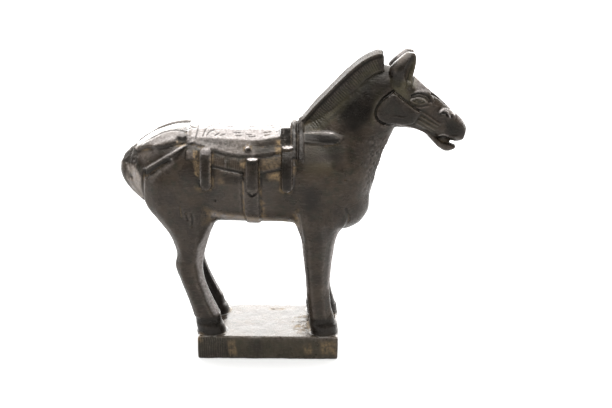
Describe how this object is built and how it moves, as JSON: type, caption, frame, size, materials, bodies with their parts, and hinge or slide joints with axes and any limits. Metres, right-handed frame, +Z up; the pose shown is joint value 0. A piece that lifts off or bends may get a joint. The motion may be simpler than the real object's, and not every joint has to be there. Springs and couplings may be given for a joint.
{
  "type": "tomb horse figurine",
  "caption": "Small dark moulded clay figure of a saddled horse standing square on a low rectangular plinth; a display piece that stands by its own weight.",
  "frame": {"origin": "centre of the plinth's underside", "axes": "+X the way the horse faces, +Y to the horse's left side, +Z up"},
  "size_m": [0.1624, 0.0462, 0.1492],
  "materials": {
    "dark_clay": "burnished dark fired clay with pale earth left in the hollows"
  },
  "bodies": {
    "root": {"tomb_horse": "dark_clay"}
  },
  "joints": []
}
